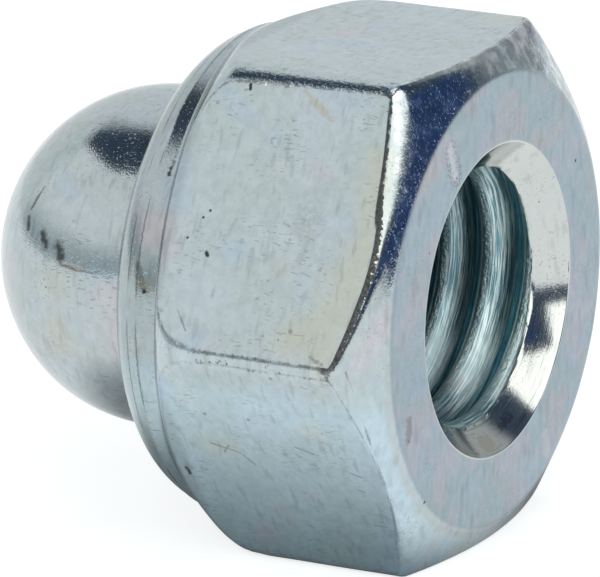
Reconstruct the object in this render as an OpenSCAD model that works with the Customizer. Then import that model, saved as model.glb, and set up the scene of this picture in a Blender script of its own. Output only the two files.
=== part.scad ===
// Locking cap nut: a hexagon body with a threaded hole, a collar rolled over the flange of a drawn dome cap, and
// a locking ring held between the thread and the cap. The nut's axis lies along X, with the open end facing +X
// and the dome facing -X, and the nut lies on one of its flats. The origin is on the axis, in the bearing face.

/* [Thread] */
// Nominal diameter of the stud that the nut takes
thread_d = 8; // [6:0.5:10]
// Pitch of the thread
thread_pitch = 1.25; // [0.75:0.25:1.5]
// How much wider the countersink's mouth is than the stud
countersink_over = 0.15; // [0:0.05:0.6]
// Full angle of the countersink
countersink_a = 90; // [60:5:120]

/* [Hexagon] */
// Width across the flats
flats_w = 13; // [12.8:0.1:18]
// Length of the hexagon, from the bearing face to the foot of the collar
hex_len = 6.75; // [5.5:0.05:12]
// Radius of the six long edges
edge_r = 0.5; // [0.1:0.05:1]
// How much narrower the flat bearing face is than the flats
face_step = 1.25; // [0.3:0.05:2]
// Angle of the chamfer round the bearing face, from the face
front_chamfer_a = 30; // [15:1:40]
// Angle of the shoulder at the collar end, from the axis
shoulder_a = 45; // [35:1:60]
// Radius that blends the shoulder into the long edges
shoulder_blend_r = 1.4; // [0.4:0.1:2]
// How far the pocket for the ring is sunk into the hexagon
pocket_sink = 1.65; // [0.5:0.05:1.8]

/* [Cap] */
// Thickness of the cap's sheet
sheet_t = 0.44; // [0.3:0.02:0.6]
// Room round the stud inside the cap
stud_gap = 0.04; // [0.02:0.01:0.3]
// Outside radius of the bend between the flange and the cap's wall
bend_r = 0.3; // [0.15:0.05:0.4]
// Flat width of the flange outside the bend
flange_w = 0.53; // [0.4:0.01:0.8]
// Length of the cap's straight wall, from the back of the flange to the start of the dome
cap_wall_len = 1.98; // [1:0.05:6]

/* [Collar] */
// Thickness of the collar's wall round the pocket
collar_wall = 1.02; // [0.6:0.02:1.4]
// Room between the pocket's wall and what sits in it
pocket_gap = 0.04; // [0.02:0.01:0.1]
// Straight length of the collar before it rolls over
collar_straight = 0.1; // [0.05:0.05:0.4]
// Radius of the fillet between the shoulder and the collar
collar_fillet_r = 0.15; // [0.05:0.01:0.2]
// Thickness of the rolled lip where it bears on the cap's flange
lip_t = 0.58; // [0.4:0.02:0.8]
// Room between the tip of the lip and the bend of the cap
lip_gap = 0.12; // [0.05:0.01:0.3]

/* [Locking ring] */
// Thickness of the ring
ring_t = 2; // [1.6:0.05:3]
// How far the ring reaches inside the stud's surface
ring_bite = 0.3; // [0.1:0.05:0.5]
// Chamfer on the ring's inner edges
ring_chamfer = 0.25; // [0.05:0.05:0.4]

/* [Hidden] */
$fn = 96;
// Steps in each turned arc, and in each half of a rounded long edge
arc_n = 8;
edge_n = 3;
// How far a cutter runs past what it cuts
over = 1;
// Depth of an ISO internal thread, as a share of its pitch
iso_depth = 0.541266;

stud_r = thread_d / 2;
crest_r = stud_r - iso_depth * thread_pitch;
mouth_r = stud_r + countersink_over / 2;

cap_r = stud_r + stud_gap + sheet_t;
flange_r = cap_r + bend_r + flange_w;
pocket_r = flange_r + pocket_gap;
collar_r = pocket_r + collar_wall;

thread_depth = hex_len - pocket_sink;
flange_front = thread_depth + ring_t;
flange_back = flange_front + sheet_t;
bend_c = [cap_r + bend_r, flange_back + bend_r];
dome_start = flange_back + cap_wall_len;
lip_back = flange_back + lip_t;
// Centre of the round tip of the lip
lip_c = [cap_r + bend_r + lip_gap + lip_t / 2, flange_back + lip_t / 2];

edge_c = flats_w / 2 - edge_r;
corner_r = edge_c / cos(30) + edge_r;

// Points of an arc about c, from angle a0 to angle a1, with its radius across the axis and along it
function arc(c, across, along, a0, a1) =
    [for (i = [0:arc_n]) let (a = a0 + (a1 - a0) * i / arc_n) c + [across * cos(a), along * sin(a)]];

// Turns an outline about the nut's axis. Its points are [radius, depth behind the bearing face]
module turned()
    rotate([0, -90, 0])
        rotate_extrude()
            children();

// A hexagonal bar along the axis with rounded long edges and two flats facing up and down
module hexagon_bar(len)
    rotate([0, -90, 0])
        linear_extrude(len)
            polygon([
                for (a = [30:60:330], i = [-edge_n:edge_n])
                    edge_c / cos(30) * [cos(a), sin(a)] + edge_r * [cos(a + 30 * i / edge_n), sin(a + 30 * i / edge_n)]
            ]);

// Outline of the bar that the hexagon is cut from, with the chamfer round its bearing face. The shoulder is a cone
// that ends on the foot of the collar, and its other end is blended into the long edges
module bar_outline() {
    face_r = flats_w / 2 - face_step / 2;
    bar_r = corner_r + over;
    cone_r = corner_r - shoulder_blend_r * (1 - cos(shoulder_a));
    cone_start = hex_len - (cone_r - collar_r) / tan(shoulder_a);
    blend_c = [corner_r - shoulder_blend_r, cone_start - shoulder_blend_r * sin(shoulder_a)];
    difference() {
        polygon([
            [0, 0], [face_r, 0], [bar_r, (bar_r - face_r) * tan(front_chamfer_a)], [bar_r, hex_len], [0, hex_len]
        ]);
        polygon(concat(
            arc(blend_c, shoulder_blend_r, shoulder_blend_r, 0, shoulder_a),
            [[collar_r, hex_len], [collar_r, hex_len + over], [bar_r + over, hex_len + over], [bar_r + over, blend_c[1]]]
        ));
    }
}

// Outline of the collar after it is rolled: fillet at its foot, straight wall and rounded lip
module collar_outline() {
    fillet_c = [collar_r + collar_fillet_r, hex_len + collar_fillet_r * tan(shoulder_a / 2)];
    fillet = arc(fillet_c, collar_fillet_r, collar_fillet_r, 180 + shoulder_a, 180);
    roll_c = [lip_c[0], fillet_c[1] + collar_straight];
    polygon(concat(
        [[0, fillet[0][1]]],
        fillet,
        arc(roll_c, collar_r - lip_c[0], lip_back - roll_c[1], 0, 90),
        [[0, lip_back]]
    ));
}

// Outline of what is bored out: countersink, thread, pocket and the opening inside the lip
module bore_outline()
    polygon(concat(
        [[0, -over], [mouth_r + over * tan(countersink_a / 2), -over]],
        [[crest_r, (mouth_r - crest_r) / tan(countersink_a / 2)]],
        [[crest_r, thread_depth], [pocket_r, thread_depth], [pocket_r, flange_back]],
        arc(lip_c, lip_t / 2, lip_t / 2, 270, 90),
        [[lip_c[0], lip_back + over], [0, lip_back + over]]
    ));

// Steel body: hexagon, collar and lip in one piece
module nut_body()
    color([0.70, 0.74, 0.76])
        difference() {
            union() {
                intersection() {
                    turned() bar_outline();
                    hexagon_bar(hex_len);
                }
                turned() collar_outline();
            }
            turned() bore_outline();
        }

// Drawn sheet cap: flange under the lip, bend, straight wall and round dome
module dome_cap()
    color([0.73, 0.77, 0.79])
        turned() {
            polygon(concat(
                [[flange_r, flange_front], [flange_r, flange_back]],
                arc(bend_c, bend_r, bend_r, 270, 180),
                [[cap_r, dome_start], [cap_r - sheet_t, dome_start]],
                arc(bend_c, bend_r + sheet_t, bend_r + sheet_t, 180, 270)
            ));
            translate([0, dome_start])
                intersection() {
                    difference() {
                        circle(cap_r);
                        circle(cap_r - sheet_t);
                    }
                    square(cap_r + over);
                }
        }

// Polyamide ring in the pocket, between the thread and the flange, a little narrower than the stud
module locking_ring() {
    hole_r = stud_r - ring_bite;
    color([0.86, 0.86, 0.82])
        turned()
            polygon([
                [flange_r, thread_depth], [flange_r, flange_front],
                [hole_r + ring_chamfer, flange_front], [hole_r, flange_front - ring_chamfer],
                [hole_r, thread_depth + ring_chamfer], [hole_r + ring_chamfer, thread_depth]
            ]);
}

nut_body();
dome_cap();
locking_ring();
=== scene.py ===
# Locking cap nut: a zinc plated steel nut with a drawn dome cap rolled into its collar, and a plastic ring
# between the two. The nut's axis lies along X, open end towards +X, and the nut lies on one of its flats.
import math

import bmesh
import bpy
import numpy as np
from mathutils import Matrix, Vector, noise


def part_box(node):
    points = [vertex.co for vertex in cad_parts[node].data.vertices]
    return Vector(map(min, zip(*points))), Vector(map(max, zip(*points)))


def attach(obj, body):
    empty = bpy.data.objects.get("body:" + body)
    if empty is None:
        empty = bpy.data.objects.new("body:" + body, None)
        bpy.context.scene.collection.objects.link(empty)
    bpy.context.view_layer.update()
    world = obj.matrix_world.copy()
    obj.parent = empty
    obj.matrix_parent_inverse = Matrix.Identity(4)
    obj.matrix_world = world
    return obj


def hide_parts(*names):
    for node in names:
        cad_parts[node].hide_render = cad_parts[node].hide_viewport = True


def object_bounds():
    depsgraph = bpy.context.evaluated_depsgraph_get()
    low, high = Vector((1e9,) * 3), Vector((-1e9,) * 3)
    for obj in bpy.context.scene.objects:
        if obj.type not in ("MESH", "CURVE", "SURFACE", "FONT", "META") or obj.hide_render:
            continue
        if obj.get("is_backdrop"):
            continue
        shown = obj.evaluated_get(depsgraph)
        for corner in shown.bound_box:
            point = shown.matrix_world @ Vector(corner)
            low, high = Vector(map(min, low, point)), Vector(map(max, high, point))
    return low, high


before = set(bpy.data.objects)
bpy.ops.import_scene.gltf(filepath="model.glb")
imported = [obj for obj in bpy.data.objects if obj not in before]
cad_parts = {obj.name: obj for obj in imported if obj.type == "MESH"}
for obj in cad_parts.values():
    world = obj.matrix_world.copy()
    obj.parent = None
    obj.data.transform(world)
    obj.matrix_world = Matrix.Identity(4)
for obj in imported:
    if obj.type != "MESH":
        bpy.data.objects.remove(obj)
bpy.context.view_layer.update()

# ---- Nut body ----
# The body is cold formed from steel: a hexagon with a chamfered bearing face, a tapped hole, and a collar
# that is rolled over the cap's flange. It is tumbled and zinc plated, so its long edges are round and a bit
# dented, and a clear blue passivation film gives it its tint. Sizes are in millimetres.
MM = 0.001
nut_low, nut_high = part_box("nut_body")
ring_low, ring_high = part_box("locking_ring")
cap_low, cap_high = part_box("dome_cap")
half_flats = nut_high.z / MM
corner_r = nut_high.y / MM
lip_back = -nut_low.x / MM
thread_end = -ring_high.x / MM
flange_front = -cap_high.x / MM
flange_r = cap_high.y / MM
sheet = 0.44
side_angle = math.pi / 3
half_angle = side_angle / 2
sharp_corner_r = half_flats / math.cos(half_angle)
edge_r = (sharp_corner_r - corner_r) / (1 / math.cos(half_angle) - 1)

stud_r = 4.0
pitch = 1.25
thread_height = 0.541266 * pitch
crest_r = stud_r - thread_height
mouth_r = stud_r + 0.075
face_r = 5.875
chamfer_slope = math.tan(math.radians(30))
hex_len = 6.75
collar_r = 6.37
shoulder_r = 1.4
pocket_r = flange_r + 0.04
flange_back = flange_front + sheet
lip_tip_r = 5.19
lip_middle = (flange_back + lip_back) / 2
lip_half = (lip_back - flange_back) / 2


def hexagon_angles(flat_steps, edge_steps):
    """Angles round the nut, packed closely where the six long edges are rounded."""
    arc = math.radians(4.5)
    edge = np.linspace(-arc, arc, edge_steps, endpoint=False)
    flat = np.linspace(arc, side_angle - arc, flat_steps, endpoint=False)
    return np.concatenate([k * side_angle + np.concatenate([edge, flat]) for k in range(6)])


def bar_radius(angle, edge):
    """Radius of the hexagon bar. Its long edges have this radius, and lie at 0, 60, 120 degrees and so on."""
    off = np.abs((angle + half_angle) % side_angle - half_angle)
    centre = (half_flats - edge) / math.cos(half_angle)
    arc = half_angle - np.arctan((half_flats - edge) * math.tan(half_angle) / half_flats)
    root = np.sqrt(np.clip(edge**2 - (centre * np.sin(off)) ** 2, 0, None))
    return np.where(off < arc, centre * np.cos(off) + root, half_flats / np.cos(half_angle - off))


def hump(angle, middle, half):
    """Rises smoothly to 1 at an angle in degrees, and falls to 0 at a half width either side of it."""
    off = np.abs((np.degrees(angle) - middle + 180) % 360 - 180)
    return np.where(off < half, 0.5 + 0.5 * np.cos(np.pi * off / half), 0.0)


def soft_min(a, b, reach):
    """The smaller of two radii, with the ridge between them rounded off."""
    near = np.clip(reach - np.abs(a - b), 0, None) / reach
    return np.minimum(a, b) - near * near * reach / 4


def soft_max(a, b, reach):
    """The larger of two radii, with the groove between them rounded off."""
    return -soft_min(-a, -b, reach)


shoulder_angle = math.pi / 4
cone_r = corner_r - shoulder_r * (1 - math.cos(shoulder_angle))
cone_start = hex_len - (cone_r - collar_r)
blend_start = cone_start - shoulder_r * math.sin(shoulder_angle)


def shoulder(depth, foot):
    """Radius of the turned shoulder: an arc off the long edges, then a cone to the collar's foot."""
    arc = corner_r - shoulder_r + np.sqrt(np.clip(shoulder_r**2 - (depth - blend_start) ** 2, 0, None))
    before = corner_r + 0.3 * (blend_start - depth)
    cone = collar_r + (foot - depth) * (cone_r - collar_r) / (foot - cone_start)
    return np.where(depth < blend_start, before, np.where(depth < cone_start, arc, cone))


def shoulder_depth(radius, foot):
    """Depth at which the shoulder has this radius."""
    arc = blend_start + np.sqrt(np.clip(shoulder_r**2 - (radius - corner_r + shoulder_r) ** 2, 0, None))
    cone = foot - (radius - collar_r) * (foot - cone_start) / (cone_r - collar_r)
    return np.where(radius > cone_r, arc, cone)


def spread(start, end, steps):
    """Rows of depths from start to end, one value for each angle, without the end row."""
    share = np.arange(steps)[:, None] / steps
    return start + (end - start) * share


def turned(points, columns):
    """Rows of (radius, depth) that are the same all the way round."""
    return np.array(points, float)[:, :, None] * np.ones(columns)


def arc_points(centre, across, along, start, end, steps):
    """Points (radius, depth) of an arc, from the start angle to the end angle in degrees."""
    return [
        (centre[0] + across * math.cos(math.radians(a)), centre[1] + along * math.sin(math.radians(a)))
        for a in np.linspace(start, end, steps)
    ]


def skin(rows, angles):
    """Vertices and faces of rows of (radius, depth) round the nut's axis, each row joined to the next."""
    radius, depth = rows[:, 0], rows[:, 1]
    points = np.stack([-depth, radius * np.cos(angles), radius * np.sin(angles)], axis=-1) * MM
    count = len(angles)
    faces = [
        (i * count + j, i * count + (j + 1) % count, (i + 1) * count + (j + 1) % count, (i + 1) * count + j)
        for i in range(len(rows) - 1)
        for j in range(count)
    ]
    return points.reshape(-1, 3), faces


def make_piece(name, points, faces, sharp_angle):
    """Closes a skin into one smooth-shaded mesh object."""
    mesh = bpy.data.meshes.new(name)
    mesh.from_pydata([tuple(p) for p in points], [], faces)
    work = bmesh.new()
    work.from_mesh(mesh)
    bmesh.ops.remove_doubles(work, verts=work.verts, dist=MM * 2e-4)
    bmesh.ops.dissolve_degenerate(work, edges=work.edges, dist=MM * 1e-4)
    bmesh.ops.recalc_face_normals(work, faces=work.faces)
    work.to_mesh(mesh)
    work.free()
    mesh.shade_smooth()
    mesh.set_sharp_from_angle(angle=math.radians(sharp_angle))
    piece = bpy.data.objects.new(name, mesh)
    bpy.context.scene.collection.objects.link(piece)
    return piece


# One upper long edge is worn rounder, the chamfer is flatter beside it, and the collar's foot is a bit uneven
angles = hexagon_angles(flat_steps=36, edge_steps=12)
bar = bar_radius(angles, edge_r + 0.25 * hump(angles, 120, 25))
lead = chamfer_slope * (1 - 0.13 * hump(angles, 115, 60))
chamfer_at = (bar - face_r) * lead
foot = hex_len - 0.3 * hump(angles, 165, 70) + 0.1 * hump(angles, 90, 35)
shoulder_at = shoulder_depth(bar, foot)

# The bearing face runs from the round edge of the countersink to the chamfer
mouth_edge = 0.015
face_edge = 0.12
mouth_rows = [
    (mouth_r + t, (mouth_edge - t) ** 2 / (4 * mouth_edge))
    for t in np.linspace(-mouth_edge, mouth_edge, 5)
]
face_rows = [(r, 0.0) for r in np.linspace(mouth_r + mouth_edge, face_r - face_edge, 9)[1:-1]]
front_edge = np.stack([
    np.stack([face_r + t + 0 * lead, (t + face_edge) ** 2 * lead / (4 * face_edge)])
    for t in np.linspace(-face_edge, face_edge, 7)
])
front = np.concatenate([turned(mouth_rows + face_rows, len(angles)), front_edge])

# Chamfer, flats, shoulder and the foot of the collar follow one another in depth
band_start = hex_len + 0.25
depth = np.concatenate([
    spread(face_edge * lead, chamfer_at - 0.2, 8)[1:],
    spread(chamfer_at - 0.2, chamfer_at + 0.2, 10),
    spread(chamfer_at + 0.2, shoulder_at - 0.15, 34),
    spread(shoulder_at - 0.15, shoulder_at + 0.1, 8),
    spread(shoulder_at + 0.1, foot - 0.1, 5),
    spread(foot - 0.1, foot + 0.1, 8),
    spread(foot + 0.1, band_start + 0 * bar, 3),
])
behind = soft_max(shoulder(depth, foot), collar_r + 0 * depth, 0.1)
front_round = 0.24 + 0.46 * hump(angles, 134, 30)
worn = np.clip((depth - 1) / 5, 0, 1)
long_edges = bar_radius(angles + 0 * depth, edge_r + (0.08 + 0.30 * worn) * hump(angles, 120, 25))
outside = soft_min(soft_min(long_edges, face_r + depth / lead, front_round), behind, 0.12)
side = np.stack([outside, depth], axis=1)

# The collar is straight for a little way, bends sharply, and rolls in over the flange to a round tip
band = [(collar_r, band_start), (collar_r, 7.08)]
roll_from = 6.91
roll_flattened = 0.07
roll = [
    (
        lip_tip_r + (collar_r - lip_tip_r) * math.cos(t) - roll_flattened * math.sin(2 * t),
        roll_from + (lip_back - roll_from) * math.sin(t),
    )
    for t in np.radians(np.linspace(14, 90, 18))
]
tip = arc_points((lip_tip_r, lip_middle), lip_half, lip_half, 90, 270, 10)[1:]
pocket = [(pocket_r, d) for d in (flange_back, flange_front, thread_end + 0.5, thread_end)]
collar = turned(band + roll + tip + pocket, len(angles))

# The thread's crest is worn round towards the open end, and is sharper on its other side. The thread fades in
# at the end of the countersink
crest_front = pitch * 0.20
crest_back = pitch * 0.12
root_half = pitch / 16
flank_angle = math.radians(30)
thread_start = 0.38 * pitch
fade_from = 0.62
fade_over = 0.22
cone_slope = 0.84
cone_curve = 0.30


def cone_radius(depth):
    """Radius of the countersink, which the tap has opened out a little at its mouth."""
    return mouth_r - depth * (cone_slope + cone_curve * depth)


def thread_radius(angle, depth):
    """Radius of the right-hand thread, with a rounded root. It fades in at the end of the countersink."""
    phase = (depth + pitch * angle / (2 * math.pi) + thread_start) % pitch
    deeper = phase < pitch / 2
    off = np.where(deeper, phase - crest_back, pitch - phase - crest_front)
    flank = crest_r + off / math.tan(flank_angle)
    crest = soft_max(flank, crest_r + 0 * flank, np.where(deeper, 0.12, 0.60))
    full = soft_min(crest, stud_r + 0 * flank, 0.20)
    share = np.clip((depth - fade_from) / fade_over, 0, 1)
    return crest_r + (full - crest_r) * share * share * (3 - 2 * share)


corners = [crest_back, pitch - crest_front, pitch / 2 - root_half, pitch / 2 + root_half]
stations = sorted([k * pitch / 28 for k in range(28)] + corners)
steps = len(stations)
turns = int(math.ceil((thread_end - mouth_edge) / pitch)) + 1
start = np.array([mouth_edge + k * pitch + s for k in range(turns + 1) for s in stations])
thread_depth = np.clip(start[:, None] - pitch * angles / (2 * math.pi), mouth_edge, thread_end)
bore = soft_max(thread_radius(angles, thread_depth), cone_radius(thread_depth), 0.03)
bore_rows = np.stack([bore, thread_depth], axis=1)

# The pocket's floor runs from the pocket's wall in to the end of the thread
floor_radius = bore_rows[-1, 0]
inner = np.stack([
    np.stack([floor_radius + (pocket_r - floor_radius) * share, thread_end + 0 * bar])
    for share in (0.6, 0.2)
])
points, faces = skin(np.concatenate([front, side, collar, inner]), angles)
bore_points, bore_faces = skin(bore_rows, angles)
count, first = len(angles), len(points)

# The thread's rows climb by one pitch in each turn, so at the seam each row meets the one a pitch further on
seamless = [f for k, f in enumerate(bore_faces) if (k + 1) % count]
rows = len(bore_rows)
for i in range(rows - 1):
    after, before = max(i - steps, 0), max(i + 1 - steps, 0)
    seamless.append((i * count + count - 1, after * count, before * count, (i + 1) * count + count - 1))
bore_faces = [tuple(first + v for v in f) for f in seamless]
last_inner = first - count
last_bore = first + (rows - 1) * count
floor_faces = [
    (last_inner + j, last_inner + (j + 1) % count, last_bore + (j + 1) % count, last_bore + j)
    for j in range(count)
]
nut = make_piece("nut_shell", np.concatenate([points, bore_points]), faces + floor_faces + bore_faces, 50)


def mesh_arrays(piece):
    """Places and normals of a piece's vertices, in millimetres."""
    places = np.empty(len(piece.data.vertices) * 3)
    normals = np.empty(len(piece.data.vertices) * 3)
    piece.data.vertices.foreach_get("co", places)
    piece.data.vertex_normals.foreach_get("vector", normals)
    return places.reshape(-1, 3) / MM, normals.reshape(-1, 3)


def press(piece, places, normals, depth):
    """Moves each vertex inwards by its own depth in millimetres."""
    piece.data.vertices.foreach_set("co", ((places - normals * depth[:, None]) * MM).ravel())
    piece.data.update()


def tumble(piece, size, amount, seed):
    """Moves a piece's vertices in and out by smooth noise, as tumbling with other parts does."""
    places, normals = mesh_arrays(piece)
    depth = np.array([noise.noise(Vector(p) / size + Vector((seed, 2 * seed, 3 * seed))) for p in places])
    press(piece, places, normals, depth * amount)


def dent(piece, at, radius, deep):
    """Presses a round hollow into a piece at a point in millimetres, with a low rim thrown up round it."""
    places, normals = mesh_arrays(piece)
    off = np.linalg.norm(places - np.array(at), axis=1) / radius
    hollow = np.clip(1 - off * off, 0, None) ** 2
    rim = np.clip(1 - np.abs(off - 1.15) / 0.35, 0, None)
    press(piece, places, normals, deep * (hollow - 0.25 * rim))


def keep_inside(piece, low, high):
    """Holds a piece's vertices inside a box."""
    places, normals = mesh_arrays(piece)
    piece.data.vertices.foreach_set("co", np.clip(places * MM, list(low), list(high)).ravel())
    piece.data.update()


# Tumbling leaves the whole nut faintly uneven, with small dents in it, most of them along one upper edge
tumble(nut, 1.6, 0.006, 3)
for at, size, deep in [
    ((-0.84, -3.77, 6.28), 0.17, 0.012),
    ((-0.75, -3.94, 6.00), 0.13, 0.012),
    ((-0.42, -2.52, 6.10), 0.17, 0.025),
    ((-0.40, -2.67, 6.00), 0.15, 0.04),
    ((-4.9, -4.0, 6.0), 0.12, 0.04),
    ((-4.5, -3.9, 6.3), 0.10, 0.03),
    ((-3.8, -3.9, 6.2), 0.10, 0.03),
    ((-6.26, -5.31, -3.81), 0.14, 0.05),
]:
    dent(nut, at, size, deep)
keep_inside(nut, nut_low, nut_high)


def put(tree, socket, value):
    """Links a socket, or sets its value. None leaves it as it is."""
    if isinstance(value, bpy.types.NodeSocket):
        tree.links.new(value, socket)
    elif value is not None:
        socket.default_value = value


def add(tree, kind, *values, **settings):
    """Adds a shader node, sets it up, and fills or links its inputs in order."""
    made = tree.nodes.new("ShaderNode" + kind)
    for name, value in settings.items():
        setattr(made, name, value)
    for socket, value in zip(made.inputs, values):
        put(tree, socket, value)
    return made


def calc(tree, operation, *values):
    """A math node's result."""
    return add(tree, "Math", *values, operation=operation).outputs[0]


def ramp(tree, value, low, high, out_low=0.0, out_high=1.0):
    """A smooth step of a value from low to high."""
    made = add(tree, "MapRange", value, low, high, out_low, out_high, interpolation_type="SMOOTHSTEP")
    return made.outputs[0]


def product(tree, *values):
    """The product of several values."""
    result = values[0]
    for value in values[1:]:
        result = calc(tree, "MULTIPLY", result, value)
    return result


def blend(tree, factor, first, second, way="MIX"):
    """A mix of two colours."""
    made = tree.nodes.new("ShaderNodeMix")
    made.data_type = "RGBA"
    made.blend_type = way
    put(tree, made.inputs[0], factor)
    put(tree, made.inputs[6], first)
    put(tree, made.inputs[7], second)
    return made.outputs[2]


def cloud(tree, where, size, detail=2.0, rough=0.5, stretch=(1, 1, 1), shift=(0, 0, 0)):
    """Smooth noise about 0.5, with lumps of about this size in millimetres."""
    scaled = add(tree, "Mapping", where)
    scaled.inputs["Location"].default_value = shift
    scaled.inputs["Scale"].default_value = [k / size for k in stretch]
    made = add(tree, "TexNoise", scaled.outputs[0])
    made.inputs["Scale"].default_value = 1.0
    made.inputs["Detail"].default_value = detail
    made.inputs["Roughness"].default_value = rough
    return made.outputs[0]


def new_group(name, inputs, outputs):
    """An empty shader node group with named sockets, its input node and its output node."""
    tree = bpy.data.node_groups.new(name, "ShaderNodeTree")
    for socket, kind in inputs:
        tree.interface.new_socket(socket, in_out="INPUT", socket_type="NodeSocket" + kind)
    for socket, kind in outputs:
        tree.interface.new_socket(socket, in_out="OUTPUT", socket_type="NodeSocket" + kind)
    return tree, tree.nodes.new("NodeGroupInput"), tree.nodes.new("NodeGroupOutput")


def use_group(tree, group, **values):
    """Places a node group, with its inputs given by name."""
    made = tree.nodes.new("ShaderNodeGroup")
    made.node_tree = group
    for name, value in values.items():
        put(tree, made.inputs[name], value)
    return made.outputs


# Tint of the passivation film: pale grey with bluish, greenish, tan and rosy clouds, and a fine mottle
film, given, result = new_group("passivation_film", [("Where", "Vector")], [("Colour", "Color")])
at = given.outputs["Where"]
tint = (0.515, 0.590, 0.595, 1)
for size, shift, low, high, shade in [
    (2.2, (0, 0, 0), 0.40, 0.62, (0.535, 0.610, 0.640, 1)),
    (1.6, (9, 2, 5), 0.58, 0.74, (0.500, 0.590, 0.650, 1)),
    (2.4, (3, 8, 1), 0.58, 0.80, (0.570, 0.595, 0.550, 1)),
    (1.9, (6, 4, 7), 0.60, 0.80, (0.575, 0.575, 0.600, 1)),
]:
    tint = blend(film, ramp(film, cloud(film, at, size, 1.0, shift=shift), low, high), tint, shade)
mottle = ramp(film, cloud(film, at, 0.22, 3.0, 0.6, stretch=(0.8, 1, 0.6)), 0.25, 0.75, 0.93, 1.06)
film.links.new(blend(film, 1.0, tint, mottle, "MULTIPLY"), result.inputs["Colour"])

# Skin of the plate after tumbling: fine grain, small pits, and short hairlines along and across the nut.
# Height is in millimetres, Shade darkens the hairlines, Dirt marks specks of grime, Fine is the grain alone
skin_marks, given, result = new_group(
    "tumbled_skin",
    [("Where", "Vector")],
    [("Height", "Float"), ("Shade", "Float"), ("Dirt", "Float"), ("Fine", "Float")],
)
at = given.outputs["Where"]
patch = ramp(skin_marks, cloud(skin_marks, at, 1.3, 1.0, shift=(2, 6, 3)), 0.42, 0.66)
fine = cloud(skin_marks, at, 0.055, 1.0)
coarse = product(skin_marks, cloud(skin_marks, at, 0.30, 1.0), 0.0022)
height = calc(skin_marks, "MULTIPLY_ADD", fine, 0.0030, coarse)
dash = ramp(skin_marks, cloud(skin_marks, at, 0.06, 1.0, stretch=(0.28, 1, 1)), 0.60, 0.70)
dash = product(skin_marks, dash, patch)
across = cloud(skin_marks, at, 0.16, 1.0, stretch=(1, 0.4, 0.16), shift=(4, 4, 4))
across = ramp(skin_marks, across, 0.56, 0.74)
hair = calc(skin_marks, "MAXIMUM", dash, product(skin_marks, across, 0.5))
pit = ramp(skin_marks, fine, 0.66, 0.78)
height = calc(skin_marks, "MULTIPLY_ADD", hair, -0.0012, height)
height = calc(skin_marks, "MULTIPLY_ADD", pit, -0.0035, height)
cells = skin_marks.nodes.new("ShaderNodeTexVoronoi")
cells.inputs["Scale"].default_value = 2.4
skin_marks.links.new(at, cells.inputs["Vector"])
chance = add(skin_marks, "SeparateColor", cells.outputs["Color"])
lumpy = calc(skin_marks, "MULTIPLY_ADD", fine, 0.14, cells.outputs["Distance"])
speck_size = calc(skin_marks, "MULTIPLY_ADD", chance.outputs[1], 0.09, 0.06)
speck = calc(skin_marks, "LESS_THAN", lumpy, speck_size)
speck = product(skin_marks, speck, ramp(skin_marks, chance.outputs[0], 0.62, 0.85))
speck = product(skin_marks, speck, ramp(skin_marks, patch, 0.0, 0.7, 0.25, 1.0))
skin_marks.links.new(height, result.inputs["Height"])
skin_marks.links.new(calc(skin_marks, "MULTIPLY_ADD", hair, -0.28, 1.0), result.inputs["Shade"])
skin_marks.links.new(speck, result.inputs["Dirt"])
skin_marks.links.new(fine, result.inputs["Fine"])

# One scratch, nick or stain: a capsule from Start along Run, with a ragged edge. Off is the distance from its
# middle line as a share of its width
mark, given, result = new_group(
    "single_mark",
    [
        ("Where", "Vector"), ("Torn", "Float"), ("Start", "Vector"), ("Run", "Vector"),
        ("Width", "Float"), ("Ragged", "Float"),
    ],
    [("Off", "Float")],
)
at, run = given.outputs["Where"], given.outputs["Run"]
from_start = add(mark, "VectorMath", at, given.outputs["Start"], operation="SUBTRACT").outputs[0]
length_squared = add(mark, "VectorMath", run, run, operation="DOT_PRODUCT").outputs["Value"]
length_squared = calc(mark, "MAXIMUM", length_squared, 0.0001)
share = add(mark, "VectorMath", from_start, run, operation="DOT_PRODUCT").outputs["Value"]
share = add(mark, "Math", share, length_squared, operation="DIVIDE", use_clamp=True).outputs[0]
nearest = add(mark, "VectorMath", run, operation="SCALE")
mark.links.new(share, nearest.inputs["Scale"])
off = add(mark, "VectorMath", from_start, nearest.outputs[0], operation="DISTANCE").outputs["Value"]
off = calc(mark, "DIVIDE", off, given.outputs["Width"])
off = calc(mark, "MULTIPLY_ADD", given.outputs["Torn"], given.outputs["Ragged"], off)
mark.links.new(off, result.inputs["Off"])


def nearest_mark(tree, where, torn, places):
    """The least Off of several marks, each a start and an end in millimetres, a width and a raggedness."""
    least = None
    for start, end, width, ragged in places:
        if start == end:
            off = add(tree, "VectorMath", where, start, operation="DISTANCE").outputs["Value"]
            off = calc(tree, "MULTIPLY_ADD", torn, ragged, calc(tree, "DIVIDE", off, width))
        else:
            run = [b - a for a, b in zip(start, end)]
            made = use_group(
                tree, mark, Where=where, Torn=torn, Start=start, Run=run, Width=width, Ragged=ragged
            )
            off = made["Off"]
        least = off if least is None else calc(tree, "MINIMUM", least, off)
    return least


def zinc_start(name):
    """A new zinc plate material: its node tree, its shader, and places on it in millimetres."""
    material = bpy.data.materials.new(name)
    material.use_nodes = True
    tree = material.node_tree
    scaled = add(tree, "Mapping", add(tree, "TexCoord").outputs["Object"])
    scaled.inputs["Scale"].default_value = (1 / MM, 1 / MM, 1 / MM)
    return material, tree, tree.nodes["Principled BSDF"], scaled.outputs[0]


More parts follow.
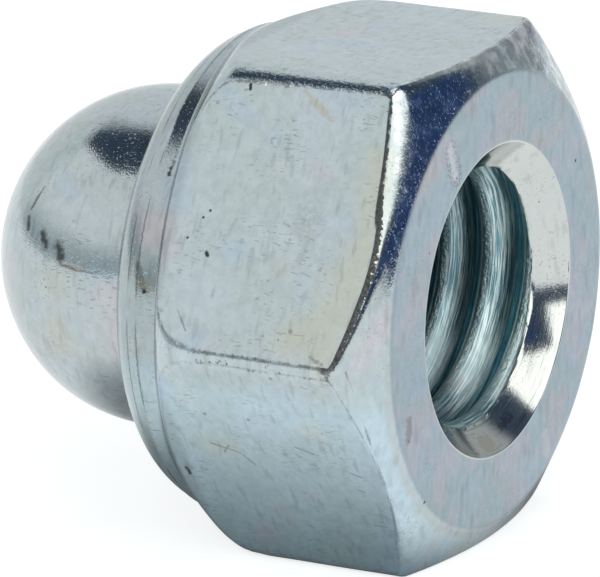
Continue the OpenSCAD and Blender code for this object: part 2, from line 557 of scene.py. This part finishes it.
def zinc_end(tree, shader, colour, dirt, height, roughness):
    """Joins up a zinc plate material. Dirt covers the metal with dark grime. Height is in millimetres."""
    put(tree, shader.inputs["Base Color"], blend(tree, dirt, colour, (0.030, 0.032, 0.037, 1)))
    put(tree, shader.inputs["Metallic"], ramp(tree, dirt, 0.0, 1.0, 1.0, 0.15))
    put(tree, shader.inputs["Roughness"], calc(tree, "MAXIMUM", roughness, product(tree, dirt, 0.6)))
    bump = add(tree, "Bump")
    bump.inputs["Strength"].default_value = 1
    bump.inputs["Distance"].default_value = MM
    put(tree, bump.inputs["Height"], height)
    put(tree, shader.inputs["Normal"], bump.outputs[0])


body_zinc, tree, shader, where = zinc_start("zinc_plate_body")
colour = use_group(tree, film, Where=where)["Colour"]
skin_out = use_group(tree, skin_marks, Where=where)
at_x, at_y, at_z = add(tree, "SeparateXYZ", where).outputs
depth_in = product(tree, at_x, -1.0)
from_axis = calc(tree, "ADD", calc(tree, "POWER", at_y, 2.0), calc(tree, "POWER", at_z, 2.0))
from_axis = calc(tree, "SQRT", from_axis)
turn = calc(tree, "ARCTAN2", at_z, at_y)

# Masks of the hole behind the countersink, and of the countersink itself
cone_here = product(tree, depth_in, calc(tree, "MULTIPLY_ADD", depth_in, cone_curve, cone_slope))
past_cone = calc(tree, "SUBTRACT", calc(tree, "ADD", cone_here, from_axis), mouth_r)
in_hole = ramp(tree, from_axis, stud_r + 0.02, stud_r + 0.12, 1.0, 0.0)
in_hole = product(tree, in_hole, ramp(tree, past_cone, 0.02, 0.08))
in_mouth = ramp(tree, from_axis, mouth_r + 0.025, mouth_r + 0.065, 1.0, 0.0)
in_mouth = product(tree, in_mouth, ramp(tree, past_cone, 0.02, 0.08, 1.0, 0.0))

# Inside the hole the tap leaves fine lines along the thread, and the worn crests are rough. The film is blue
# in the lines. The grooves and the deeper part of the hole are painted darker and bluer as shade, and a
# painted glint brightens the hole low down on one side
climb = product(tree, turn, pitch / (2 * math.pi), in_hole)
helix = calc(tree, "ADD", depth_in, climb)
along_thread = add(tree, "CombineXYZ", helix, product(tree, turn, 0.10), product(tree, from_axis, 0.6))
tap_lines = cloud(tree, along_thread.outputs[0], 0.045, 2.0, 0.8)
torn = calc(tree, "SUBTRACT", cloud(tree, where, 0.11, 2.0, 0.65), 0.5)
on_crest = product(tree, ramp(tree, from_axis, crest_r + 0.01, crest_r + 0.06, 1.0, 0.0), in_hole)
in_groove = product(tree, ramp(tree, from_axis, crest_r + 0.42, crest_r + 0.64), in_hole)
hole_tint_shade_and_glint = blend(tree, ramp(tree, tap_lines, 0.44, 0.58), (0.30, 0.52, 0.58, 1), (1.65, 1.68, 1.62, 1))
hole_tint_shade_and_glint = blend(tree, product(tree, on_crest, 0.6), hole_tint_shade_and_glint, (0.80, 0.92, 0.92, 1))
# Painted shade: darker, bluer grooves, and a darker, bluer hole deeper in
hole_tint_shade_and_glint = blend(tree, product(tree, in_groove, 0.8), hole_tint_shade_and_glint, (0.34, 0.62, 0.70, 1))
hole_tint_shade_and_glint = blend(tree, ramp(tree, depth_in, 0.9, 3.2, 0.0, 0.55), hole_tint_shade_and_glint, (0.24, 0.38, 0.45, 1))
# Painted glint: the hole is brightened low down on one side
painted_glint = ramp(tree, calc(tree, "ABSOLUTE", calc(tree, "ADD", turn, 0.86)), 0.08, 0.42, 1.0, 0.0)
painted_glint = product(tree, painted_glint, in_hole, ramp(tree, in_groove, 0.2, 0.8, 1.0, 0.0))
hole_tint_shade_and_glint = blend(tree, product(tree, painted_glint, 0.40), hole_tint_shade_and_glint, (1.75, 1.80, 1.75, 1))
colour = blend(tree, in_hole, colour, blend(tree, 1.0, colour, hole_tint_shade_and_glint, "MULTIPLY"))

# The countersink is freshly cut and bright, with fine dark streaks round its lower half
colour = blend(tree, product(tree, in_mouth, 0.8), colour, (0.66, 0.68, 0.65, 1))
streak = product(tree, in_mouth, ramp(tree, turn, -0.5, -0.2, 1.0, 0.0))
streak = product(tree, streak, ramp(tree, tap_lines, 0.34, 0.43, 0.55, 0.0))
colour = blend(tree, streak, colour, (0.25, 0.29, 0.27, 1))

# The flat bearing face is a little duller, with a rosy film in places. The far side of the chamfer gets the
# same darker tint, as painted shade
on_face = ramp(tree, depth_in, 0.01, 0.05, 1.0, 0.0)
on_face = product(tree, on_face, ramp(tree, from_axis, mouth_r + 0.005, mouth_r + 0.045))
chamfer_here = product(tree, calc(tree, "SUBTRACT", from_axis, face_r), chamfer_slope)
past_chamfer = calc(tree, "SUBTRACT", depth_in, chamfer_here)
on_chamfer = ramp(tree, past_chamfer, 0.02, 0.10, 1.0, 0.0)
on_chamfer = product(tree, on_chamfer, ramp(tree, from_axis, face_r + 0.025, face_r + 0.125))
# Painted shade on the far side of the chamfer
far_side = product(tree, on_chamfer, ramp(tree, at_y, -1.0, 1.0))
on_face = calc(tree, "MAXIMUM", on_face, far_side)
rosy = ramp(tree, cloud(tree, where, 1.3, shift=(1, 1, 8)), 0.44, 0.62)
face_tint_and_shade = blend(tree, rosy, (0.68, 0.74, 0.80, 1), (0.80, 0.74, 0.80, 1))
colour = blend(tree, on_face, colour, blend(tree, 1.0, colour, face_tint_and_shade, "MULTIPLY"))

# The flats that face down are painted a little bluer and lighter, as a painted reflection
painted_reflection_tint = product(tree, ramp(tree, at_z, -1.4, -0.3, 1.0, 0.0), ramp(tree, from_axis, 5.0, 5.6))
painted_reflection_tint = product(tree, painted_reflection_tint, ramp(tree, depth_in, 0.10, 0.20))
colour = blend(tree, painted_reflection_tint, colour, blend(tree, 1.0, colour, (1.04, 1.13, 1.18, 1), "MULTIPLY"))

# The collar's film is darker, with two fine dark lines of painted shade round it where it bends
on_collar = ramp(tree, depth_in, hex_len - 0.8, hex_len - 0.5)
colour = blend(tree, on_collar, colour, blend(tree, 1.0, colour, (0.80, 0.80, 0.80, 1), "MULTIPLY"))
wavy = calc(tree, "MULTIPLY_ADD", torn, 0.07, depth_in)
front_crease, back_crease = [
    calc(tree, "ABSOLUTE", calc(tree, "SUBTRACT", wavy, crease_at)) for crease_at in (7.04, 7.37)
]
crease_shade = ramp(tree, calc(tree, "MINIMUM", front_crease, back_crease), 0.010, 0.035, 1.0, 0.0)
crease_shade = product(tree, crease_shade, ramp(tree, cloud(tree, where, 1.1, 1.0, shift=(7, 7, 2)), 0.38, 0.55))
# Painted shade in the collar's bends
colour = blend(tree, product(tree, crease_shade, 0.62), colour, (0.10, 0.11, 0.12, 1))

# How far a point lies below the flat beside it, and how far it is from the middle of that flat
fold = calc(tree, "SUBTRACT", calc(tree, "FLOORED_MODULO", turn, side_angle), half_angle)
drop = calc(tree, "SUBTRACT", half_flats, product(tree, from_axis, calc(tree, "COSINE", fold)))
aside = calc(tree, "ABSOLUTE", product(tree, from_axis, calc(tree, "SINE", fold)))
on_side = product(tree, ramp(tree, depth_in, 0.08, 0.16), ramp(tree, depth_in, 6.0, 6.3, 1.0, 0.0))

# A dark torn line runs along the edge between each flat and the chamfer, heaviest on one flat. It is partly
# grime in the burr that the cutter left, and partly painted shade of the rounded edge
heavy = product(tree, ramp(tree, at_y, -4.2, -3.6, 1.0, 0.0), ramp(tree, at_z, -0.3, 0.3))
thick = product(tree, heavy, ramp(tree, at_z, 4.6, 1.9, 0.16, 1.0))
thick = calc(tree, "MULTIPLY_ADD", thick, 0.090, 0.008)
far_edge = product(tree, thick, calc(tree, "MULTIPLY_ADD", torn, 2.6, 1.0))
past_burr = ramp(tree, calc(tree, "SUBTRACT", drop, far_edge), 0.0, 0.006, 1.0, 0.0)
burr_grime_and_shade = product(tree, ramp(tree, drop, 0.004, 0.008), past_burr)
burr_grime_and_shade = product(tree, burr_grime_and_shade, on_side, ramp(tree, depth_in, 1.1, 1.3, 1.0, 0.0))
burr_grime_and_shade = product(tree, burr_grime_and_shade, ramp(tree, cloud(tree, where, 0.5, 1.0), 0.40, 0.55, heavy, 1.0))
burr_grime_and_shade = product(tree, burr_grime_and_shade, ramp(tree, at_z, -0.15, 0.15, 0.3, 1.0))
burr_grime_and_shade = product(tree, burr_grime_and_shade, ramp(tree, skin_out["Fine"], 0.35, 0.62, 1.0, 0.84))

# The long edges are burnished bright, with grime in the scuffs along them
long_edge = product(tree, ramp(tree, aside, 3.40, 3.55), on_side, ramp(tree, depth_in, 0.75, 0.95))
scuff = product(tree, ramp(tree, torn, 0.12, 0.17), long_edge)
upper_edge = product(tree, long_edge, ramp(tree, at_z, 4.5, 5.5))

# A fine dark line of painted shade lies where each flat turns down into the long edges and the shoulder
border_shade = calc(tree, "ABSOLUTE", calc(tree, "SUBTRACT", drop, 0.014))
border_shade = ramp(tree, border_shade, 0.004, 0.012, 1.0, 0.0)
border_shade = product(tree, border_shade, on_side, ramp(tree, torn, -0.12, 0.06))
border_shade = product(tree, border_shade, ramp(tree, at_z, -0.25, 0.05, 0.35, 1.0))
border_shade = product(tree, border_shade, ramp(tree, at_y, -3.90, -3.65, 1.0, 0.1))

# Small bright nicks in the chamfer and, half as strong, in the collar
nicked = ramp(tree, skin_out["Fine"], 0.64, 0.76)
nicked = product(tree, nicked, calc(tree, "MULTIPLY_ADD", on_collar, 0.5, on_chamfer))
colour = blend(tree, product(tree, nicked, 0.35), colour, (0.90, 0.92, 0.96, 1))

# The top of the chamfer is scraped: short fine lines over a lighter mottle
scraped = product(tree, on_chamfer, ramp(tree, at_z, 1.6, 2.6))
scrape_lines = cloud(tree, where, 0.055, 1.0, stretch=(1, 0.8, 0.25), shift=(5, 5, 5))
scrape_lines = product(tree, scraped, ramp(tree, scrape_lines, 0.58, 0.70))
mottled = ramp(tree, cloud(tree, where, 0.40, 2.0, 0.6, shift=(8, 1, 8)), 0.42, 0.70)
mottled = product(tree, scraped, mottled)
colour = blend(tree, product(tree, mottled, 0.75), colour, (0.95, 1.0, 1.0, 1))

# Scratches, nicks and stains that this nut has picked up. Each has a start, an end, a width and a raggedness
dark_marks = [
    ((-4.9, -3.95, 6.15), (-4.88, -4.0, 6.02), 0.045, 1.2),
    ((-6.26, -5.31, -3.81), (-6.2, -5.25, -3.95), 0.07, 1.2),
    ((0, -4.20, -4.16), (0, -4.24, -4.2), 0.05, 1.0),
    ((-5.05, -6.16, 2.32), (-5.0, -6.19, 2.27), 0.06, 1.4),
    ((-5.21, -5.62, 3.25), (-5.21, -5.62, 3.25), 0.04, 1.0),
    ((-5.36, -5.72, 3.08), (-5.36, -5.72, 3.08), 0.04, 1.0),
    ((-5.67, -6.00, 2.59), (-5.67, -6.00, 2.59), 0.04, 1.0),
    ((0, 4.46, 2.53), (0, 4.46, 2.53), 0.05, 1.2),
    ((-6.64, -4.62, 4.55), (-6.70, -5.10, 3.88), 0.07, 1.6),
    ((-6.82, -6.29, 1.10), (-6.56, -6.46, 1.15), 0.07, 1.6),
]
faint_marks = [
    ((-7.05, -6.11, 1.74), (-6.84, -6.26, 1.18), 0.10, 1.6),
    ((-6.41, -6.42, 1.88), (-6.50, -6.49, 1.29), 0.10, 1.6),
    ((0, -5.0, -1.8), (0, -5.05, -2.2), 0.16, 2.2),
    ((-1.55, -7.28, 0.33), (-1.2, -7.33, 0.22), 0.06, 3.5),
    ((-2.24, -7.00, 0.86), (-2.24, -7.00, 0.86), 0.07, 1.5),
    ((-2.66, -7.31, -0.33), (-2.66, -7.31, -0.33), 0.06, 1.2),
    ((-3.23, -7.39, -0.17), (-3.23, -7.39, -0.17), 0.06, 1.2),
    ((-5.05, -6.44, -1.83), (-5.05, -6.44, -1.83), 0.06, 1.2),
    ((-3.79, -6.45, -1.81), (-3.79, -6.45, -1.81), 0.06, 1.2),
    ((-5.2, -5.9, -2.8), (-4.4, -5.8, -3.0), 0.035, 1.0),
    ((-4.9, -5.75, -3.05), (-4.69, -5.9, -2.8), 0.03, 1.0),
    ((-4.4, -5.8, -3.0), (-4.1, -5.6, -3.3), 0.03, 1.0),
    ((-2.7, -6.05, -2.5), (-2.2, -5.95, -2.65), 0.03, 1.0),
    ((-1.3, -5.7, -3.1), (-1.05, -5.65, -3.2), 0.03, 1.0),
    ((-1.3, -5.4, -3.6), (-1.1, -5.38, -3.68), 0.03, 1.0),
    ((-0.68, -7.05, 0.02), (-0.41, -6.20, -2.23), 0.035, 1.6),
    ((-0.41, -6.20, -2.23), (-0.41, -5.30, -3.82), 0.03, 1.6),
    ((-0.41, -5.30, -3.82), (-0.65, -4.34, -5.49), 0.04, 1.6),
    ((-5.13, -7.18, 0.56), (-5.5, -6.9, 1.0), 0.03, 1.0),
    ((-0.36, 0.73, -3.63), (-0.30, 1.2, -3.5), 0.14, 2.5),
]
tan_marks = [
    ((-3.35, -3.94, 6.16), (-2.42, -4.28, 5.56), 0.055, 1.2),
    ((-3.08, -4.05, 5.97), (-2.66, -4.20, 5.72), 0.120, 0.8),
    ((-0.23, -0.39, -3.82), (-0.25, -0.1, -3.8), 0.25, 1.6),
    ((-6.86, -6.24, 1.22), (-6.58, -6.40, 1.25), 0.16, 1.4),
]
wide_stains = [
    ((-0.9, -4.7, 4.8), (-0.75, -5.7, 3.0), 0.45, 0.8),
    ((-0.8, -5.9, 2.8), (-1.2, -6.9, 1.0), 0.75, 0.8),
    ((-1.2, -6.8, 1.2), (-2.2, -7.1, 0.6), 0.60, 0.8),
]
pale_marks = [
    ((-4.5, -3.88, 6.3), (-4.48, -3.95, 6.2), 0.045, 0.8),
    ((-3.8, -3.88, 6.2), (-3.76, -3.92, 6.1), 0.045, 0.8),
    ((-0.84, -3.77, 6.28), (-0.84, -3.77, 6.28), 0.13, 0.6),
    ((-0.75, -3.94, 6.00), (-0.75, -3.94, 6.00), 0.10, 0.6),
    ((-0.44, -2.47, 6.17), (-0.38, -2.60, 6.00), 0.07, 0.8),
]
dark, faint, stain, pale = [
    ramp(tree, nearest_mark(tree, where, torn, places), 0.45, 1.25, 1.0, 0.0)
    for places in (dark_marks, faint_marks, tan_marks, pale_marks)
]
haze = ramp(tree, nearest_mark(tree, where, torn, wide_stains), 0.0, 1.5, 1.0, 0.0)

# Two oval scars in the bearing face, one on each side of the hole
large_scar = nearest_mark(tree, where, torn, [((0, -2.30, 3.95), (0, -2.58, 4.62), 0.32, 1.6)])
large_scar = ramp(tree, large_scar, 0.2, 1.2, 1.0, 0.0)
small_scar = nearest_mark(tree, where, torn, [((0, 2.58, -4.40), (0, 2.63, -4.85), 0.24, 0.5)])
small_scar = ramp(tree, small_scar, 0.6, 1.0, 0.5, 0.0)

for mask, strength, shade in [
    (haze, 0.42, (0.60, 0.58, 0.42, 1)),
    (stain, 0.50, (0.50, 0.45, 0.34, 1)),
    (large_scar, 0.30, (0.85, 0.86, 0.84, 1)),
    (small_scar, 0.50, (0.62, 0.64, 0.60, 1)),
    (faint, 0.50, (0.16, 0.14, 0.12, 1)),
    # painted shade along the flats' edges
    (border_shade, 0.55, (0.10, 0.10, 0.10, 1)),
    (pale, 1.00, (0.90, 0.90, 0.88, 1)),
]:
    colour = blend(tree, product(tree, mask, strength), colour, shade)
colour = blend(tree, 1.0, colour, skin_out["Shade"], "MULTIPLY")
dirt = calc(tree, "MAXIMUM", product(tree, skin_out["Dirt"], 0.55), dark)
# The burr line is grime and painted edge shade
dirt = calc(tree, "MAXIMUM", dirt, burr_grime_and_shade)
dirt = calc(tree, "MAXIMUM", dirt, product(tree, scuff, 0.6))

# The grain is weaker in the countersink, and where a flat turns down to the chamfer
turned_down = product(tree, ramp(tree, drop, 0.008, 0.02), ramp(tree, depth_in, 1.0, 1.15, 1.0, 0.0))
grain = calc(tree, "MULTIPLY_ADD", in_mouth, -0.75, 1.0)
grain = calc(tree, "SUBTRACT", grain, product(tree, turned_down, on_side, 0.55))
height = product(tree, skin_out["Height"], grain)
for relief, deep, mask in [
    (tap_lines, 0.012, in_hole),
    (tap_lines, 0.0015, in_mouth),
    (torn, 0.045, on_crest),
    (torn, 0.008, upper_edge),
]:
    height = calc(tree, "MULTIPLY_ADD", product(tree, relief, deep), mask, height)
height = calc(tree, "MULTIPLY_ADD", large_scar, -0.030, height)

rough = ramp(tree, on_collar, 0.0, 1.0, 0.27, 0.16)
for mask, change in [
    (in_hole, 0.06),
    (on_crest, 0.08),
    (painted_glint, 0.18),
    (in_mouth, -0.15),
    (long_edge, -0.13),
    (on_chamfer, -0.14),
    (nicked, 0.25),
    (scrape_lines, 0.15),
    (mottled, 0.05),
]:
    rough = calc(tree, "MULTIPLY_ADD", mask, change, rough)
zinc_end(tree, shader, colour, dirt, height, rough)
nut.data.materials.append(body_zinc)
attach(nut, "root")
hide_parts("nut_body")

# ---- Locking ring ----
# The ring is moulded polyamide. It fills the pocket between the end of the thread and the cap's flange. Its
# hole is a little smaller than a stud, so it grips the stud's thread.
ring_end = -ring_low.x / MM
ring_hole_r = 3.7
ring_round = 0.25
ring_edge = 0.05
ring_steps = [4.8, 4.4, 4.0]
ring_rows = (
    [(flange_r, thread_end + ring_edge), (flange_r, ring_end - ring_edge), (flange_r - ring_edge, ring_end)]
    + [(r, ring_end) for r in ring_steps]
    + arc_points((ring_hole_r + ring_round, ring_end - ring_round), ring_round, ring_round, 90, 180, 7)
    + arc_points((ring_hole_r + ring_round, thread_end + ring_round), ring_round, ring_round, 180, 270, 7)
    + [(r, thread_end) for r in ring_steps[::-1] + [flange_r - ring_edge]]
)
ring_angles = np.linspace(0, 2 * math.pi, 128, endpoint=False)
points, faces = skin(turned(ring_rows + ring_rows[:1], len(ring_angles)), ring_angles)
ring = make_piece("grip_ring", points, faces, 50)
ring_look = bpy.data.materials.new("polyamide_ring")
ring_look.use_nodes = True
shader = ring_look.node_tree.nodes["Principled BSDF"]
shader.inputs["Base Color"].default_value = (0.75, 0.75, 0.70, 1)
shader.inputs["Roughness"].default_value = 0.45
ring.data.materials.append(ring_look)
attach(ring, "root")
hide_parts("locking_ring")

# ---- Dome cap ----
# The cap is deep drawn from thin sheet: a flange that the collar is rolled over, a bend, a short straight
# wall and a round dome. It is plated on its own, before it goes into the nut.
cap_r = stud_r + 0.04 + sheet
cap_end = -cap_low.x / MM
bend_r = 0.3
bend = (cap_r + bend_r, flange_back + bend_r)
bend_foot = 5.05
dome_start = cap_end - cap_r
outer = (
    [(flange_r, flange_back), (bend_foot, flange_back)]
    + arc_points(bend, bend_r, bend_r, 270, 180, 8)
    + [(cap_r, d) for d in np.linspace(bend[1], dome_start, 8)[1:-1]]
    + arc_points((0, dome_start), cap_r, cap_r, 0, 90, 44)
)
inner_wall = (
    arc_points((0, dome_start), cap_r - sheet, cap_r - sheet, 90, 0, 24)
    + arc_points(bend, bend_r + sheet, bend_r + sheet, 180, 270, 8)
    + [(bend_foot, flange_front), (flange_r, flange_front), (flange_r, flange_back)]
)
cap_angles = np.linspace(0, 2 * math.pi, 192, endpoint=False)
points_out, faces_out = skin(turned(outer, len(cap_angles)), cap_angles)
points_in, faces_in = skin(turned(inner_wall, len(cap_angles)), cap_angles)
faces_in = [tuple(len(points_out) + v for v in f) for f in faces_in]
cap = make_piece("dome_shell", np.concatenate([points_out, points_in]), faces_out + faces_in, 50)
tumble(cap, 2.0, 0.008, 5)
keep_inside(cap, cap_low, cap_high)
cap_zinc, tree, shader, where = zinc_start("zinc_plate_cap")
colour = use_group(tree, film, Where=where)["Colour"]
skin_out = use_group(tree, skin_marks, Where=where)
colour = blend(tree, 1.0, colour, skin_out["Shade"], "MULTIPLY")
colour = blend(tree, 1.0, colour, (0.93, 0.92, 0.91, 1), "MULTIPLY")
torn = calc(tree, "SUBTRACT", cloud(tree, where, 0.14, 2.0, 0.65), 0.5)

# Soft dark patches on one side of the dome, and a thin brown line of grime
cap_dark_patches = [
    ((-10.49, -4.19, 1.26), (-10.41, -4.28, 0.97), 0.15, 2.2),
    ((-11.10, -3.94, 1.44), (-10.96, -4.06, 1.22), 0.13, 2.4),
    ((-11.77, -3.50, 1.66), (-11.73, -3.62, 1.43), 0.09, 1.8),
    ((-11.74, -3.40, 1.90), (-11.45, -3.20, 2.40), 0.06, 1.8),
]
cap_line = [
    ((-10.40, -4.31, 0.83), (-9.91, -4.40, 0.76), 0.05, 1.5),
    ((-9.91, -4.40, 0.76), (-8.70, -4.35, 0.68), 0.035, 1.2),
]
dark_patches = ramp(tree, nearest_mark(tree, where, torn, cap_dark_patches), 0.0, 1.5, 1.0, 0.0)
line = ramp(tree, nearest_mark(tree, where, torn, cap_line), 0.45, 1.3, 1.0, 0.0)
colour = blend(tree, product(tree, dark_patches, 0.85), colour, (0.055, 0.045, 0.045, 1))
colour = blend(tree, product(tree, line, 0.7), colour, (0.22, 0.17, 0.12, 1))
zinc_end(tree, shader, colour, product(tree, skin_out["Dirt"], 0.6), skin_out["Height"], 0.12)
cap.data.materials.append(cap_zinc)
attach(cap, "root")
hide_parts("dome_cap")

# ---- Camera ----
# A long lens looks at the open end and one lower corner of the nut, from a little above. It stands about
# 195 mm away and is rolled by about a degree.
azimuth = math.radians(28.637)
elevation = math.radians(17.128)
roll_angle = math.radians(-1.121)
aim = Vector((-5.85, 0, 0))
distance = 195
side_shift = 0.0819
lift = -0.4302
back = Vector((
    math.sin(azimuth) * math.cos(elevation), -math.cos(azimuth) * math.cos(elevation), math.sin(elevation)
))
right = Vector((math.cos(azimuth), math.sin(azimuth), 0))
up = back.cross(right)
right, up = (
    math.cos(roll_angle) * right + math.sin(roll_angle) * up,
    math.cos(roll_angle) * up - math.sin(roll_angle) * right,
)
spot = (aim + distance * back + side_shift * right + lift * up) * MM
camera_data = bpy.data.cameras.new("camera")
camera_data.sensor_width = 36
camera_data.lens = 452.59
camera_data.clip_start = 0.01
camera_data.clip_end = 10
camera = bpy.data.objects.new("camera", camera_data)
camera.matrix_world = Matrix((
    (right.x, up.x, back.x, spot.x),
    (right.y, up.y, back.y, spot.y),
    (right.z, up.z, back.z, spot.z),
    (0, 0, 0, 1),
))
bpy.context.scene.collection.objects.link(camera)
bpy.context.scene.camera = camera

# ---- Floor ----
# A pale table top under the nut. In front of the open end it stops short on the near side and reaches further
# on the far side. Its glow in the nut's reflections is a painted shadow: darker close by and brighter further
# off.
table_left, table_near, table_far = -1.2, -0.6, 0.6
table_end, long_end, step_at = 0.095, 0.40, -0.02
floor_outline = [
    (table_left, table_near, 0), (table_end, table_near, 0), (table_end, step_at, 0),
    (long_end, step_at, 0), (long_end, table_far, 0), (table_left, table_far, 0),
]
floor_mesh = bpy.data.meshes.new("floor")
floor_mesh.from_pydata(floor_outline, [], [tuple(range(len(floor_outline)))])
floor = bpy.data.objects.new("floor", floor_mesh)
floor.location.z = nut_low.z
bpy.context.scene.collection.objects.link(floor)
floor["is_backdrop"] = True
floor_look = bpy.data.materials.new("pale_floor")
floor_look.use_nodes = True
tree = floor_look.node_tree
shader = tree.nodes["Principled BSDF"]
shader.inputs["Base Color"].default_value = (0.435, 0.455, 0.465, 1)
shader.inputs["Roughness"].default_value = 0.9
shader.inputs["Specular IOR Level"].default_value = 0.0

# How far a point of the floor lies beyond the nut's foot, in metres
floor_x, floor_y = add(tree, "SeparateXYZ", add(tree, "TexCoord").outputs["Object"]).outputs[:2]
behind_nut = calc(tree, "MULTIPLY_ADD", floor_x, -1.0, -0.0100)
before_nut = calc(tree, "MULTIPLY_ADD", floor_x, 2.5, 0.0025)
beyond = calc(tree, "MAXIMUM", calc(tree, "MAXIMUM", behind_nut, before_nut), 0.0)
beside = calc(tree, "MAXIMUM", calc(tree, "SUBTRACT", calc(tree, "ABSOLUTE", floor_y), 0.0038), 0.0)
away = calc(tree, "ADD", calc(tree, "POWER", beyond, 2.0), calc(tree, "POWER", beside, 2.0))
# Painted shadow: the glow that the nut mirrors fades out close to the nut
glow = ramp(tree, calc(tree, "SQRT", away), 0.0, 0.0050, 0.0, 0.65)
path = add(tree, "LightPath")
seen = product(tree, path.outputs["Is Glossy Ray"], glow)
seen = calc(tree, "MULTIPLY_ADD", path.outputs["Is Camera Ray"], 0.76, seen)
shader.inputs["Emission Color"].default_value = (1, 1, 1, 1)
put(tree, shader.inputs["Emission Strength"], seen)
floor.data.materials.append(floor_look)

# ---- Studio ----
# A dark room with soft boxes and a navy drape standing round the nut, and a pale ceiling patch over it. They
# are painted on the world, and the camera itself sees white.
world = bpy.data.worlds.new("studio")
bpy.context.scene.world = world
world.use_nodes = True
tree = world.node_tree
tree.nodes.clear()
direction = add(tree, "TexCoord").outputs["Generated"]


def standing_panel(light, bearing, half_width, soft, low, high, colour):
    """Stands a flat panel of light in front of what is there, at a bearing in degrees from the X axis.

    Its half width, and the height and softness of its lower and upper edges, are shares of its distance.
    """
    facing = add(tree, "VectorRotate", direction, rotation_type="Z_AXIS")
    facing.inputs["Angle"].default_value = -math.radians(bearing)
    ahead, across, upward = add(tree, "SeparateXYZ", facing.outputs[0]).outputs
    away = calc(tree, "MAXIMUM", ahead, 0.001)
    aside = calc(tree, "DIVIDE", calc(tree, "ABSOLUTE", across), away)
    height = calc(tree, "DIVIDE", upward, away)
    inside = ramp(tree, aside, half_width - soft, half_width + soft, 1.0, 0.0)
    above = ramp(tree, height, low[0] - low[1], low[0] + low[1])
    below = ramp(tree, height, high[0] - high[1], high[0] + high[1], 1.0, 0.0)
    return blend(tree, product(tree, inside, above, below), light, (*colour, 1))


light = (0.045, 0.068, 0.105, 1)
for panel in [
    # Wall low down on the left, then the left box, whose lower edge is lost in it
    (207, 1.20, 0.22, (0.0, 0.010), (0.60, 0.2), (0.44, 0.50, 0.52)),
    (224, 1.55, 0.16, (0.24, 0.17), (1.50, 0.035), (0.91, 0.93, 0.94)),
    # Box behind the nut with a wider one next to it, and a smaller grey one beside them
    (156, 0.26, 0.16, (-0.02, 0.02), (0.80, 0.12), (0.78, 0.82, 0.84)),
    (118, 0.65, 0.28, (-0.1, 0.02), (2.2, 0.5), (0.80, 0.83, 0.85)),
    (75, 0.30, 0.12, (0.0, 0.02), (0.9, 0.2), (0.42, 0.44, 0.45)),
    # Navy drape low down in front, the main box beside it and another above it
    (20, 0.60, 0.10, (0.0, 0.02), (0.45, 0.1), (0.025, 0.055, 0.150)),
    (-50, 0.57, 0.03, (0.110, 0.02), (2.0, 0.1), (1.60, 1.60, 1.56)),
    (-20, 0.95, 0.03, (0.52, 0.03), (2.0, 0.1), (1.60, 1.60, 1.56)),
]:
    light = standing_panel(light, *panel)

# The ceiling patch, and below the table's height a pale ground behind and shade in front of the table
ahead, _, up_there = add(tree, "SeparateXYZ", direction).outputs
light = blend(tree, ramp(tree, up_there, 0.925, 0.975), light, (1.25, 1.27, 1.3, 1))
ground = blend(tree, ramp(tree, ahead, -0.05, 0.05), (0.80, 0.80, 0.80, 1), (0.03, 0.05, 0.11, 1))
light = blend(tree, ramp(tree, up_there, -0.004, 0.004, 1.0, 0.0), light, ground)
light = blend(tree, add(tree, "LightPath").outputs["Is Camera Ray"], light, (1, 1, 1, 1))
background = add(tree, "Background", light, 1.0)
output = add(tree, "OutputWorld")
tree.links.new(background.outputs[0], output.inputs[0])

bpy.context.scene.view_settings.view_transform = "Standard"

low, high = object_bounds()
